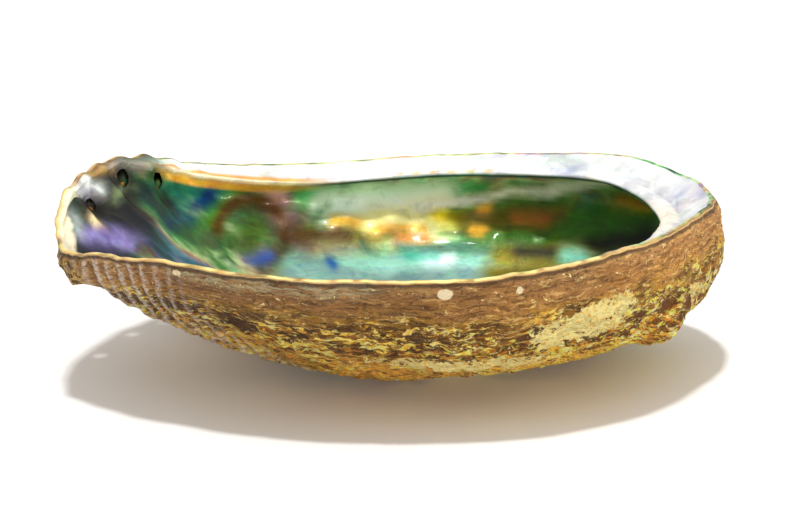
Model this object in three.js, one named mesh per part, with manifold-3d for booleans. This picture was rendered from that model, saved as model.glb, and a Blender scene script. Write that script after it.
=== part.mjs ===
// Abalone shell lying on its back, hollow side up, in millimetres, +Z up.
// The origin is the middle of the shell's bounding box, on the ground it rests on.
// The growing lip is at -X, the coiled spire at +X near the ground on the -Y side,
// and the row of breathing holes runs round the +Y side.
import * as THREE from 'three';
import Module from 'manifold-3d';

// Worn patch the shell rests on: a flat ellipse under the centre of mass.
const PATCH_CENTRE = new THREE.Vector2(7, 2);
const PATCH_HALF_LENGTH = 14;
const PATCH_HALF_WIDTH = 8.5;

// Wall thickness at the floor, half way up and at the rim.
const FLOOR_THICKNESS = 3.6;
const WALL_THICKNESS = 3.0;
const RIM_THICKNESS = 1.4;

// Rim of the shell, once round: x, y, height.
const RIM = [
  [73, 12, 37.5], [68, 27, 38.2], [57, 38, 39.5], [40, 47.5, 38],
  [20, 53.5, 36.5], [0, 55, 35], [-20, 53, 34.2], [-38, 47.5, 35.2],
  [-50, 41.5, 37.5], [-57, 35, 40.5], [-64, 25, 42.5], [-69, 14, 42.5],
  [-72.5, 2, 41], [-73.5, -11, 37.5], [-71, -23, 34], [-62, -33, 35.5],
  [-48, -42, 36.5], [-28, -51, 36], [-5, -55, 36], [20, -53.5, 36],
  [42, -44, 37.5], [57, -31, 38.5], [67, -14, 38.5], [72, 0, 38],
];

// Shape of the wall every 30 degrees round the patch, starting at +X:
// slope where it leaves the patch, slope at the rim, and how full each end is.
const FOOT_SLOPE = [8, 8, 12, 15, 12, 7, 5, 7, 14, 18, 20, 15];
const RIM_SLOPE = [119, 114, 101, 92, 86, 74, 60, 60, 74, 84, 96, 108];
const FOOT_FULLNESS = [0.50, 0.48, 0.42, 0.40, 0.40, 0.36, 0.34, 0.34, 0.38, 0.38, 0.40, 0.44];
const RIM_FULLNESS = [0.44, 0.44, 0.42, 0.40, 0.36, 0.30, 0.22, 0.22, 0.34, 0.40, 0.42, 0.43];

// Pearly shelf inside the rim every 30 degrees: widest round the spire end,
// narrow along the hole row, absent along the growing lip.
const SHELF_WIDTH = [10.5, 8.4, 6.2, 5.2, 5.4, 3.0, 0.6, 0.6, 0.6, 0.6, 0.8, 3.8];
const SHELF_SLOPE = 24;
const SHELF_EDGE = 1.3;

// Scalloped margin where the hole row reaches the growing lip.
const SCALLOP_START = 144;
const SCALLOP_END = 190;
const SCALLOP_PITCH = 8.4;
const SCALLOP_HEIGHT = 0.6;

// Breathing holes still open: direction from the patch, place up the wall, radius.
const OPEN_HOLES = [
  { direction: 177, climb: 0.85, radius: 1.5, mound: 5.2 },
  { direction: 163.6, climb: 0.84, radius: 2.0, mound: 5.6 },
  { direction: 153.8, climb: 0.82, radius: 1.8, mound: 5.2 },
];
const MOUND_RISE = 1.9;
const POCKET_DEPTH = 1.5;

// Older holes, sealed: low bumps that shrink along the row towards the spire.
const SEALED_BUMPS = [
  { direction: 143, climb: 0.80, size: 4.6 },
  { direction: 131, climb: 0.78, size: 4.3 },
  { direction: 118, climb: 0.76, size: 4.0 },
  { direction: 105, climb: 0.74, size: 3.7 },
  { direction: 92, climb: 0.72, size: 3.4 },
  { direction: 79, climb: 0.70, size: 3.1 },
  { direction: 66, climb: 0.68, size: 2.8 },
  { direction: 53, climb: 0.66, size: 2.5 },
];
const BUMP_FLATNESS = 0.5;

// Coiled spire, low on the outside near one end: a small mound with a spiral step.
const SPIRE = { direction: 339, climb: 0.6, radius: 9.2, rise: 4, root: 4.5 };
const SPIRE_STEP = 1.7;
const SPIRE_GROWTH = 3.2;
const SPIRE_RINGS = 8;
const SPIRE_SPOKES = 20;

// Rough crusted knob on the outside below the growing lip.
const KNOB_CENTRE = new THREE.Vector3(-68, -21.5, 30.6);
const KNOB_RADII = new THREE.Vector3(4.6, 5.4, 3.9);

// Fineness of the surface.
const PLAIN_STEP = 6;
const SCALLOP_STEP = 2.1;
const WALL_STEPS = 10;
const BOWL_STEPS = 7;
const LIP_STEPS = 3;

const manifold = await Module();
manifold.setup();

const toRadians = THREE.MathUtils.degToRad;
const mix = THREE.MathUtils.lerp;
const ease = THREE.MathUtils.smoothstep;

// Smooth value between twelve numbers spaced evenly round the shell.
function around(values, degrees) {
  const place = THREE.MathUtils.euclideanModulo(degrees, 360) / 30;
  const index = Math.floor(place);
  const part = place - index;
  const before = values[(index + 11) % 12];
  const here = values[index % 12];
  const next = values[(index + 1) % 12];
  const after = values[(index + 2) % 12];
  const bend = 2 * before - 5 * here + 4 * next - after;
  const twist = 3 * (here - next) + after - before;
  return here + 0.5 * part * (next - before + part * (bend + part * twist));
}

// Direction of a rim point seen from the patch centre, in degrees.
function directionOf(x, y) {
  const angle = Math.atan2(y - PATCH_CENTRE.y, x - PATCH_CENTRE.x);
  return THREE.MathUtils.euclideanModulo(THREE.MathUtils.radToDeg(angle), 360);
}

// Rim points, closer together along the scalloped margin, each with its scallop height.
function rimColumns() {
  const corners = RIM.map(([x, y, z]) => new THREE.Vector3(x, y, z));
  const curve = new THREE.CatmullRomCurve3(corners, true, 'centripetal');
  curve.arcLengthDivisions = 1200;
  const length = curve.getLength();
  const columns = [];
  let travelled = 0;
  while (travelled < length - 1) {
    const point = curve.getPointAt(travelled / length);
    const direction = directionOf(point.x, point.y);
    const along = (direction - SCALLOP_START) / (SCALLOP_END - SCALLOP_START);
    const scalloped = along > 0 && along < 1;
    const fade = scalloped ? Math.sin(Math.PI * along) : 0;
    const scallop = SCALLOP_HEIGHT * fade * Math.cos(2 * Math.PI * travelled / SCALLOP_PITCH);
    columns.push({ point, direction, scallop });
    travelled += scalloped ? SCALLOP_STEP : PLAIN_STEP;
  }
  return columns;
}

// Distance from the patch centre to its edge in one direction.
function patchReach(direction) {
  const angle = toRadians(direction);
  const along = Math.cos(angle) / PATCH_HALF_LENGTH;
  const across = Math.sin(angle) / PATCH_HALF_WIDTH;
  return 1 / Math.hypot(along, across);
}

// Outside of the wall in one upright plane: distance from the patch centre, height.
function outerCurve(rimPoint, direction) {
  const reach = Math.hypot(rimPoint.x - PATCH_CENTRE.x, rimPoint.y - PATCH_CENTRE.y);
  const foot = new THREE.Vector2(patchReach(direction), 0);
  const top = new THREE.Vector2(reach, rimPoint.z);
  const span = foot.distanceTo(top);
  const footSlope = toRadians(around(FOOT_SLOPE, direction));
  const rimSlope = toRadians(around(RIM_SLOPE, direction));
  const footPull = span * around(FOOT_FULLNESS, direction);
  const rimPull = span * around(RIM_FULLNESS, direction);
  const low = new THREE.Vector2(Math.cos(footSlope), Math.sin(footSlope)).multiplyScalar(footPull).add(foot);
  const high = new THREE.Vector2(-Math.cos(rimSlope), -Math.sin(rimSlope)).multiplyScalar(rimPull).add(top);
  return new THREE.CubicBezierCurve(foot, low, high, top);
}

// Thickness of the wall from the floor (0) to the rim (1).
function thicknessAt(climb) {
  const lower = mix(FLOOR_THICKNESS, WALL_THICKNESS, ease(climb, 0, 0.6));
  return mix(lower, RIM_THICKNESS + 0.4, ease(climb, 0.55, 1));
}

// Point on the inside of the wall, measured square to the outside.
function insidePoint(outer, climb) {
  const point = outer.getPoint(climb);
  const tangent = outer.getTangent(climb);
  const inward = new THREE.Vector2(-tangent.y, tangent.x);
  return inward.multiplyScalar(thicknessAt(climb)).add(point);
}

// Inside of the wall above the bowl, curling in under the shelf edge.
function lipCurve(outer, shelfUnder, shelfWidth, startClimb) {
  const start = insidePoint(outer, startClimb);
  const tangent = outer.getTangent(startClimb);
  const span = start.distanceTo(shelfUnder);
  const overhang = ease(shelfWidth, 1, 8);
  const rimTangent = outer.getTangent(1);
  const wallAngle = Math.atan2(rimTangent.y, rimTangent.x);
  const endAngle = mix(wallAngle, toRadians(158), overhang);
  const low = tangent.clone().multiplyScalar(span * 0.4).add(start);
  const pull = span * mix(0.3, 0.45, overhang);
  const high = new THREE.Vector2(-Math.cos(endAngle), -Math.sin(endAngle)).multiplyScalar(pull).add(shelfUnder);
  return new THREE.CubicBezierCurve(start, low, high, shelfUnder);
}

// Whole section of the wall in one direction, from the patch up, over the rim and back down.
function section({ point, direction, scallop }) {
  const outer = outerCurve(point, direction);
  const shelfWidth = around(SHELF_WIDTH, direction);
  const startClimb = mix(0.84, 0.8, ease(shelfWidth, 1, 10));
  const top = outer.getPoint(1);
  const points = [];
  for (let step = 0; step <= WALL_STEPS; step += 1) {
    points.push(outer.getPoint(step / WALL_STEPS));
  }
  points.push(new THREE.Vector2(top.x - RIM_THICKNESS * 0.5, top.y + 0.35));
  points.push(new THREE.Vector2(top.x - RIM_THICKNESS, top.y));
  const drop = shelfWidth * Math.tan(toRadians(SHELF_SLOPE));
  const shelfEdge = new THREE.Vector2(top.x - RIM_THICKNESS - shelfWidth, top.y - drop - 0.3);
  points.push(shelfEdge);
  const shelfUnder = new THREE.Vector2(shelfEdge.x + 0.3, shelfEdge.y - SHELF_EDGE);
  const lip = lipCurve(outer, shelfUnder, shelfWidth, startClimb);
  for (let step = LIP_STEPS; step > 0; step -= 1) {
    points.push(lip.getPoint(step / LIP_STEPS));
  }
  for (let step = BOWL_STEPS; step >= 0; step -= 1) {
    points.push(insidePoint(outer, startClimb * step / BOWL_STEPS));
  }
  points.forEach((spot) => {
    spot.y += scallop * ease(spot.y / top.y, 0.6, 1);
  });
  return points;
}

// Point and outward direction on the outside of the wall.
function outsidePlace(columns, direction, climb) {
  const gap = (column) => Math.abs(column.direction - direction);
  const nearest = columns.reduce((best, column) => (gap(column) < gap(best) ? column : best));
  const heading = toRadians(nearest.direction);
  const outer = outerCurve(nearest.point, nearest.direction);
  const place = outer.getPoint(climb);
  const tangent = outer.getTangent(climb);
  const point = new THREE.Vector3(
    PATCH_CENTRE.x + Math.cos(heading) * place.x,
    PATCH_CENTRE.y + Math.sin(heading) * place.x,
    place.y,
  );
  const outward = new THREE.Vector3(
    Math.cos(heading) * tangent.y,
    Math.sin(heading) * tangent.y,
    -tangent.x,
  );
  return { point, outward };
}

// Closed skin through one section per column, capped on the middle line at both ends.
function skin(columns, sections, startHeight, endHeight) {
  const positions = [];
  const indices = [];
  const rows = sections[0].length;
  sections.forEach((points, column) => {
    const heading = toRadians(columns[column].direction);
    points.forEach((point) => {
      positions.push(
        PATCH_CENTRE.x + Math.cos(heading) * point.x,
        PATCH_CENTRE.y + Math.sin(heading) * point.x,
        point.y,
      );
    });
  });
  const start = positions.length / 3;
  const end = start + 1;
  positions.push(PATCH_CENTRE.x, PATCH_CENTRE.y, startHeight);
  positions.push(PATCH_CENTRE.x, PATCH_CENTRE.y, endHeight);
  sections.forEach((points, column) => {
    const here = column * rows;
    const next = ((column + 1) % columns.length) * rows;
    indices.push(start, next, here);
    indices.push(end, here + rows - 1, next + rows - 1);
    for (let row = 0; row < rows - 1; row += 1) {
      indices.push(here + row, next + row, next + row + 1);
      indices.push(here + row, next + row + 1, here + row + 1);
    }
  });
  const geometry = new THREE.BufferGeometry();
  geometry.setAttribute('position', new THREE.Float32BufferAttribute(positions, 3));
  geometry.setIndex(indices);
  return geometry;
}

// Bowl of the shell: the full wall section carried round the patch.
function bowl(columns) {
  return solid(skin(columns, columns.map(section), 0, FLOOR_THICKNESS));
}

// Space inside the wall, reaching above the rim: keeps outside growths out of the hollow.
function hollow(columns) {
  const sections = columns.map(({ point, direction }) => {
    const outer = outerCurve(point, direction);
    const points = [];
    for (let step = 0; step <= BOWL_STEPS; step += 1) {
      const spot = insidePoint(outer, step / BOWL_STEPS);
      spot.x += 0.8;
      points.push(spot);
    }
    const top = points[points.length - 1];
    points.push(new THREE.Vector2(top.x, top.y + 12));
    return points;
  });
  return solid(skin(columns, sections, FLOOR_THICKNESS, RIM[0][2] + 16));
}

// Solid body from a closed indexed geometry.
function solid(geometry) {
  const position = geometry.getAttribute('position');
  const seen = new Map();
  const vertices = [];
  const lookup = [];
  for (let index = 0; index < position.count; index += 1) {
    const spot = [position.getX(index), position.getY(index), position.getZ(index)];
    const key = spot.map((value) => Math.round(value * 10000)).join(',');
    if (!seen.has(key)) {
      seen.set(key, vertices.length / 3);
      vertices.push(...spot);
    }
    lookup.push(seen.get(key));
  }
  const triangles = [];
  const index = geometry.getIndex().array;
  for (let corner = 0; corner < index.length; corner += 3) {
    const [a, b, c] = [lookup[index[corner]], lookup[index[corner + 1]], lookup[index[corner + 2]]];
    if (a !== b && b !== c && c !== a) {
      triangles.push(a, b, c);
    }
  }
  return new manifold.Manifold(new manifold.Mesh({
    numProp: 3,
    vertProperties: new Float32Array(vertices),
    triVerts: new Uint32Array(triangles),
  }));
}

// Turn a shape's +Y axis to point along the given direction and move it into place.
function placed(geometry, point, direction) {
  const turn = new THREE.Quaternion().setFromUnitVectors(new THREE.Vector3(0, 1, 0), direction);
  geometry.applyQuaternion(turn);
  geometry.translate(point.x, point.y, point.z);
  return geometry;
}

// Raised mound outside one open hole.
function mound(place, hole) {
  const outline = [
    new THREE.Vector2(0, -1.2),
    new THREE.Vector2(hole.mound, -1.2),
    new THREE.Vector2(hole.mound * 0.86, MOUND_RISE * 0.4),
    new THREE.Vector2(hole.mound * 0.62, MOUND_RISE * 0.85),
    new THREE.Vector2(hole.radius + 0.9, MOUND_RISE),
    new THREE.Vector2(0, MOUND_RISE),
  ];
  return solid(placed(new THREE.LatheGeometry(outline, 16), place.point, place.outward));
}

// Rounded hollow inside one open hole.
function pocket(place, hole) {
  const radius = hole.mound * 1.15;
  const lift = POCKET_DEPTH - WALL_THICKNESS - radius;
  const centre = place.point.clone().addScaledVector(place.outward, lift);
  const ball = new THREE.SphereGeometry(radius, 16, 12);
  return solid(placed(ball, centre, place.outward));
}

// Tapered bore of one open hole.
function bore(place, hole) {
  const cutter = new THREE.CylinderGeometry(hole.radius, hole.radius * 1.15, 14, 16);
  return solid(placed(cutter, place.point, place.outward));
}

// Low bump left by a sealed hole.
function sealedBump(place, bump) {
  const ball = new THREE.SphereGeometry(bump.size, 12, 8);
  ball.scale(1, BUMP_FLATNESS, 1);
  const centre = place.point.clone().addScaledVector(place.outward, -bump.size * 0.18);
  return solid(placed(ball, centre, place.outward));
}

// Height of the spire above the wall: a mound whose side steps down along a spiral.
function spireHeight(radius, turn) {
  const reach = radius / SPIRE.radius;
  const coil = Math.log(Math.max(reach, 0.08)) / Math.log(SPIRE_GROWTH) - turn;
  const whorl = coil - Math.floor(coil);
  const step = SPIRE_STEP * reach * Math.sin(Math.PI * whorl);
  return SPIRE.rise * (1 - reach ** 1.7) + step * (1 - reach ** 4);
}

// Spire as a closed dome with its root sunk into the wall.
function spire(place) {
  const positions = [0, SPIRE.rise, 0];
  const indices = [];
  for (let ring = 1; ring <= SPIRE_RINGS; ring += 1) {
    const radius = SPIRE.radius * ring / SPIRE_RINGS;
    for (let spoke = 0; spoke < SPIRE_SPOKES; spoke += 1) {
      const angle = 2 * Math.PI * spoke / SPIRE_SPOKES;
      const height = spireHeight(radius, spoke / SPIRE_SPOKES);
      positions.push(radius * Math.cos(angle), height, -radius * Math.sin(angle));
    }
  }
  const base = positions.length / 3;
  positions.push(0, -SPIRE.root, 0);
  for (let spoke = 0; spoke < SPIRE_SPOKES; spoke += 1) {
    const angle = 2 * Math.PI * spoke / SPIRE_SPOKES;
    positions.push(SPIRE.radius * Math.cos(angle), -SPIRE.root, -SPIRE.radius * Math.sin(angle));
  }
  for (let spoke = 0; spoke < SPIRE_SPOKES; spoke += 1) {
    const next = (spoke + 1) % SPIRE_SPOKES;
    indices.push(0, 1 + spoke, 1 + next);
    for (let ring = 0; ring < SPIRE_RINGS - 1; ring += 1) {
      const inner = 1 + ring * SPIRE_SPOKES;
      const outer = inner + SPIRE_SPOKES;
      indices.push(inner + spoke, outer + spoke, outer + next);
      indices.push(inner + spoke, outer + next, inner + next);
    }
    const edge = 1 + (SPIRE_RINGS - 1) * SPIRE_SPOKES;
    indices.push(edge + spoke, base + 1 + spoke, base + 1 + next);
    indices.push(edge + spoke, base + 1 + next, edge + next);
    indices.push(base, base + 1 + next, base + 1 + spoke);
  }
  const geometry = new THREE.BufferGeometry();
  geometry.setAttribute('position', new THREE.Float32BufferAttribute(positions, 3));
  geometry.setIndex(indices);
  return solid(placed(geometry, place.point, place.outward));
}

// Crusted knob under the growing lip.
function knob() {
  const ball = new THREE.SphereGeometry(1, 14, 10);
  ball.scale(KNOB_RADII.x, KNOB_RADII.y, KNOB_RADII.z);
  ball.translate(KNOB_CENTRE.x, KNOB_CENTRE.y, KNOB_CENTRE.z);
  return solid(ball);
}

// Geometry of a finished solid.
function geometryOf(body) {
  const mesh = body.getMesh();
  const geometry = new THREE.BufferGeometry();
  geometry.setAttribute('position', new THREE.BufferAttribute(mesh.vertProperties, 3));
  geometry.setIndex(new THREE.BufferAttribute(mesh.triVerts, 1));
  geometry.computeVertexNormals();
  return geometry;
}

// Everything that grew on the outside: mounds, sealed bumps, spire and knob.
function outsideGrowth(columns, holes) {
  let growth = knob().add(spire(outsidePlace(columns, SPIRE.direction, SPIRE.climb)));
  holes.forEach(({ hole, place }) => {
    growth = growth.add(mound(place, hole));
  });
  SEALED_BUMPS.forEach((bump) => {
    growth = growth.add(sealedBump(outsidePlace(columns, bump.direction, bump.climb), bump));
  });
  return growth.subtract(hollow(columns));
}

// The whole shell: bowl and outside growth as one body, then the open holes.
function shellGeometry() {
  const columns = rimColumns();
  const holes = OPEN_HOLES.map((hole) => (
    { hole, place: outsidePlace(columns, hole.direction, hole.climb) }
  ));
  let body = bowl(columns).add(outsideGrowth(columns, holes));
  holes.forEach(({ hole, place }) => {
    body = body.subtract(pocket(place, hole)).subtract(bore(place, hole));
  });
  return geometryOf(body);
}

const shell = new THREE.Mesh(
  shellGeometry(),
  new THREE.MeshStandardMaterial({ color: 0x8a7a5c, roughness: 0.7 }),
);
shell.name = 'abalone_shell';
shell.geometry.computeBoundingBox();
const middle = shell.geometry.boundingBox.getCenter(new THREE.Vector3());
shell.position.set(-middle.x, -middle.y, 0);

const part = new THREE.Group();
part.name = 'abalone_shell_part';
part.add(shell);
export default part;
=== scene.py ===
# Abalone shell lying on its back: fine surface, crusted outside and nacre inside.
# Lengths in the shape code are millimetres; the mesh is written in metres.
import math

import bpy
import numpy as np
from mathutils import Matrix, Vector


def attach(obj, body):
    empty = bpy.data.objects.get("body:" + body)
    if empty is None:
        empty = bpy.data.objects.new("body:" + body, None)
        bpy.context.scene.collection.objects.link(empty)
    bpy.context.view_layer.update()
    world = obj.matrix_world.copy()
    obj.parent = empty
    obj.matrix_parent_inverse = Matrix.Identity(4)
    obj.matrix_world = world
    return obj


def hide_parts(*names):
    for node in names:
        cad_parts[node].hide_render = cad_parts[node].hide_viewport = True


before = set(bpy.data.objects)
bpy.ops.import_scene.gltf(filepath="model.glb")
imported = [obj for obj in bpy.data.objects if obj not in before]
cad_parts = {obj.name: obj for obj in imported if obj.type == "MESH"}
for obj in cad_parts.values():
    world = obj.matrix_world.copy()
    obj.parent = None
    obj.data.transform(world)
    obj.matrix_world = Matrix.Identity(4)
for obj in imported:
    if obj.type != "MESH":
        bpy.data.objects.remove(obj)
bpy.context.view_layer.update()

# ---------------------------------------------------------------- driving sizes
PATCH_CENTRE = np.array([7.0, 2.0])
PATCH_HALF = np.array([14.0, 8.5])
FLOOR_THICKNESS, WALL_THICKNESS, RIM_THICKNESS = 3.6, 3.0, 1.4
RIM = [
    (73, 12, 37.5), (68, 27, 38.2), (57, 38, 39.5), (40, 47.5, 38), (20, 53.5, 36.5), (0, 55, 35),
    (-20, 53, 34.2), (-38, 47.5, 35.2), (-50, 41.5, 37.5), (-57, 35, 40.5), (-64, 25, 42.5),
    (-69, 14, 42.5), (-72.5, 2, 41), (-73.5, -11, 37.5), (-71, -23, 34), (-62, -33, 35.5),
    (-48, -42, 36.5), (-28, -51, 36), (-5, -55, 36), (20, -53.5, 36), (42, -44, 37.5),
    (57, -31, 38.5), (67, -14, 38.5), (72, 0, 38),
]
# Every 30 degrees round the patch, starting at +X.
FOOT_SLOPE = [8, 8, 12, 15, 12, 7, 5, 7, 14, 18, 20, 15]
RIM_SLOPE = [119, 114, 101, 92, 86, 74, 60, 60, 74, 84, 96, 108]
FOOT_FULLNESS = [0.50, 0.48, 0.42, 0.40, 0.40, 0.36, 0.34, 0.34, 0.38, 0.38, 0.40, 0.44]
RIM_FULLNESS = [0.44, 0.44, 0.42, 0.40, 0.36, 0.30, 0.22, 0.22, 0.34, 0.40, 0.42, 0.43]
SHELF_WIDTH = [10.5, 8.4, 6.2, 5.2, 5.4, 3.0, 0.6, 0.6, 0.6, 0.6, 0.8, 3.8]
SHELF_SLOPE, SHELF_EDGE = 24, 1.3
OPEN_HOLES = [(177.0, 0.85, 1.5, 5.2), (163.6, 0.84, 2.0, 5.6), (153.8, 0.82, 1.8, 5.2)]
SEALED_BUMPS = [
    (143, 0.80, 4.6), (131, 0.78, 4.3), (118, 0.76, 4.0), (105, 0.74, 3.7),
    (92, 0.72, 3.4), (79, 0.70, 3.1), (66, 0.68, 2.8), (53, 0.66, 2.5),
]
SPIRE_DIRECTION, SPIRE_CLIMB, SPIRE_RADIUS, SPIRE_RISE = 339.0, 0.60, 10.5, 4.0
KNOB_CENTRE = np.array([-68.0, -21.5, 30.6])
SPIRAL_GROWTH = 0.63

COLUMNS = 640
PATCH_ROWS, OUTER_ROWS, RIM_ROWS, SHELF_ROWS = 4, 78, 5, 11
EDGE_ROWS, LIP_ROWS, INNER_ROWS, FLOOR_ROWS = 3, 7, 38, 4

# The CAD part is centred on its box; these sizes are not, so everything moves by this much.
MIDDLE = np.array([1.23, -0.11, 0.0])


# ---------------------------------------------------------------- small helpers
def smooth(x, low, high):
    t = np.clip((np.asarray(x, float) - low) / (high - low), 0, 1)
    return t * t * (3 - 2 * t)


def mix(a, b, t):
    return a + (b - a) * t


def around(values, degrees):
    """Smooth value between twelve numbers spaced evenly round the shell."""
    v = np.asarray(values, float)
    place = np.mod(degrees, 360) / 30
    i = np.floor(place).astype(int) % 12
    t = place - np.floor(place)
    a, b, c, d = v[(i + 11) % 12], v[i], v[(i + 1) % 12], v[(i + 2) % 12]
    return b + 0.5 * t * (c - a + t * (2 * a - 5 * b + 4 * c - d + t * (3 * (b - c) + d - a)))


def closed_curve(points, count):
    """Evenly spaced points on the closed centripetal curve through the given ones."""
    p = np.asarray(points, float)
    n = len(p)
    knot = np.linalg.norm(np.roll(p, -1, 0) - p, axis=1) ** 0.5
    dense = []
    for k in range(n):
        p0, p1, p2, p3 = p[k - 1], p[k], p[(k + 1) % n], p[(k + 2) % n]
        d0, d1, d2 = knot[k - 1], knot[k], knot[(k + 1) % n]
        m1 = (p1 - p0) / d0 - (p2 - p0) / (d0 + d1) + (p2 - p1) / d1
        m2 = (p2 - p1) / d1 - (p3 - p1) / (d1 + d2) + (p3 - p2) / d2
        u = np.linspace(0, 1, 80, endpoint=False)[:, None]
        h = (2 * u**3 - 3 * u**2 + 1, u**3 - 2 * u**2 + u, -2 * u**3 + 3 * u**2, u**3 - u**2)
        dense.append(h[0] * p1 + h[1] * m1 * d1 + h[2] * p2 + h[3] * m2 * d1)
    dense = np.concatenate(dense + [p[:1]])
    run = np.concatenate([[0], np.cumsum(np.linalg.norm(np.diff(dense, axis=0), axis=1))])
    at = np.linspace(0, run[-1], count, endpoint=False)
    return np.stack([np.interp(at, run, dense[:, k]) for k in range(3)], 1), run[-1]


LATTICE = np.random.default_rng(11).random((48, 48, 48))


def noise(p, size, seed=0):
    """Smooth value noise from -1 to 1; size is the grain in mm, one number or one for each axis."""
    q = np.asarray(p, float) / size + seed * 7.31 + 100.5
    i = np.floor(q).astype(int)
    f = q - i
    f = f * f * (3 - 2 * f)
    a, b = i % 48, (i + 1) % 48
    x0, y0, z0 = a[..., 0], a[..., 1], a[..., 2]
    x1, y1, z1 = b[..., 0], b[..., 1], b[..., 2]
    fx, fy, fz = f[..., 0], f[..., 1], f[..., 2]
    low_near = mix(LATTICE[x0, y0, z0], LATTICE[x1, y0, z0], fx)
    low = mix(low_near, mix(LATTICE[x0, y1, z0], LATTICE[x1, y1, z0], fx), fy)
    high_near = mix(LATTICE[x0, y0, z1], LATTICE[x1, y0, z1], fx)
    high = mix(high_near, mix(LATTICE[x0, y1, z1], LATTICE[x1, y1, z1], fx), fy)
    return 2 * mix(low, high, fz) - 1


def cloud(p, size, octaves=3, seed=0):
    total, weight = 0.0, 1.0
    for k in range(octaves):
        total = total + weight * noise(p, np.asarray(size) / 2**k, seed + k)
        weight *= 0.5
    return total


def dome(distance, radius, power=2.0):
    """1 at the middle, 0 from the radius outwards, rounded on top."""
    t = np.clip(distance / radius, 0, 1)
    return (1 - t**power) ** 1.5


# ---------------------------------------------------------------- wall sections
rim, rim_length = closed_curve(RIM, COLUMNS)
away = rim[:, :2] - PATCH_CENTRE
reach = np.linalg.norm(away, axis=1)
head = away / reach[:, None]
direction = np.degrees(np.arctan2(head[:, 1], head[:, 0])) % 360
along_rim = np.arange(COLUMNS) / COLUMNS * rim_length

foot = np.stack([1 / np.hypot(head[:, 0] / PATCH_HALF[0], head[:, 1] / PATCH_HALF[1]), np.zeros(COLUMNS)], 1)
top = np.stack([reach, rim[:, 2]], 1)
span = np.linalg.norm(top - foot, axis=1)
foot_slope, rim_slope = np.radians(around(FOOT_SLOPE, direction)), np.radians(around(RIM_SLOPE, direction))
low_pull, high_pull = span * around(FOOT_FULLNESS, direction), span * around(RIM_FULLNESS, direction)
low = foot + np.stack([np.cos(foot_slope), np.sin(foot_slope)], 1) * low_pull[:, None]
high = top - np.stack([np.cos(rim_slope), np.sin(rim_slope)], 1) * high_pull[:, None]
shelf_width = around(SHELF_WIDTH, direction)


def bezier(a, b, c, d, t):
    t = t[..., None]
    first = (1 - t) ** 3 * a[:, None] + 3 * (1 - t) ** 2 * t * b[:, None]
    return first + 3 * (1 - t) * t * t * c[:, None] + t**3 * d[:, None]


def bezier_tangent(a, b, c, d, t):
    t = t[..., None]
    v = (1 - t) ** 2 * (b - a)[:, None] + 2 * (1 - t) * t * (c - b)[:, None] + t * t * (d - c)[:, None]
    return v / np.linalg.norm(v, axis=2, keepdims=True)


def outer(t):
    return bezier(foot, low, high, top, t)


def inside(t):
    lower = mix(FLOOR_THICKNESS, WALL_THICKNESS, smooth(t, 0, 0.6))
    thick = mix(lower, RIM_THICKNESS + 0.4, smooth(t, 0.55, 1))
    tangent = bezier_tangent(foot, low, high, top, t)
    inward = np.stack([-tangent[..., 1], tangent[..., 0]], -1)
    return outer(t) + inward * thick[..., None]


def even_steps(count, end):
    """Curve parameters from 0 to end (one end per column) that are evenly spaced along the wall."""
    t = np.linspace(0, 1, 121)[None] * np.ones((COLUMNS, 1))
    steps = np.linalg.norm(np.diff(outer(t), axis=1), axis=2)
    run = np.concatenate([np.zeros((COLUMNS, 1)), np.cumsum(steps, 1)], 1)
    out = []
    for k in range(COLUMNS):
        stop = np.interp(end[k], t[k], run[k])
        out.append(np.interp(np.linspace(0, stop, count), run[k], t[k]))
    return np.array(out)


outer_t = even_steps(OUTER_ROWS, np.ones(COLUMNS))
start_climb = mix(0.84, 0.80, smooth(shelf_width, 1, 10))
inner_t = even_steps(INNER_ROWS, start_climb)

drop = shelf_width * math.tan(math.radians(SHELF_SLOPE))
rim_inner = top + np.array([-RIM_THICKNESS, 0.0])
shelf_edge = np.stack([top[:, 0] - RIM_THICKNESS - shelf_width, top[:, 1] - drop - 0.3], 1)
shelf_under = shelf_edge + np.array([0.3, -SHELF_EDGE])

lip_start = inside(start_climb[:, None])[:, 0]
lip_tangent = bezier_tangent(foot, low, high, top, start_climb[:, None])[:, 0]
lip_span = np.linalg.norm(shelf_under - lip_start, axis=1)
overhang = smooth(shelf_width, 1, 8)
end_angle = mix(rim_slope, math.radians(158), overhang)
lip_low = lip_start + lip_tangent * (lip_span * 0.4)[:, None]
wall_way = np.stack([np.cos(end_angle), np.sin(end_angle)], 1)
lip_high = shelf_under - wall_way * (lip_span * mix(0.3, 0.45, overhang))[:, None]

# Kinds: 0 patch, 1 outside, 2 rim, 3 shelf, 4 shelf edge, 5 under shelf, 6 bowl, 7 floor.
rows, kind = [], []
for k in range(1, PATCH_ROWS):
    rows.append(foot * k / PATCH_ROWS)
    kind.append(0)
for section in np.moveaxis(outer(outer_t), 1, 0):
    rows.append(section)
    kind.append(1)
for k in range(1, RIM_ROWS):
    t = k / RIM_ROWS
    rows.append(top + np.array([-RIM_THICKNESS * t, 0.35 * math.sin(math.pi * t)]))
    kind.append(2)
for k in range(SHELF_ROWS):
    t = k / (SHELF_ROWS - 1)
    sag = 0.7 * math.sin(math.pi * t) * smooth(shelf_width, 3, 10)
    rows.append(mix(rim_inner, shelf_edge, t) + np.stack([0 * sag, -sag], 1))
    kind.append(3)
for k in range(1, EDGE_ROWS + 1):
    t = k / (EDGE_ROWS + 1)
    bulge = np.array([-0.35 * math.sin(math.pi * t), 0.0])
    rows.append(mix(shelf_edge, shelf_under, t) + bulge * smooth(shelf_width, 1, 4)[:, None])
    kind.append(4)
for k in range(LIP_ROWS, 0, -1):
    t = np.full((COLUMNS, 1), k / LIP_ROWS)
    rows.append(bezier(lip_start, lip_low, lip_high, shelf_under, t)[:, 0])
    kind.append(5)
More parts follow.
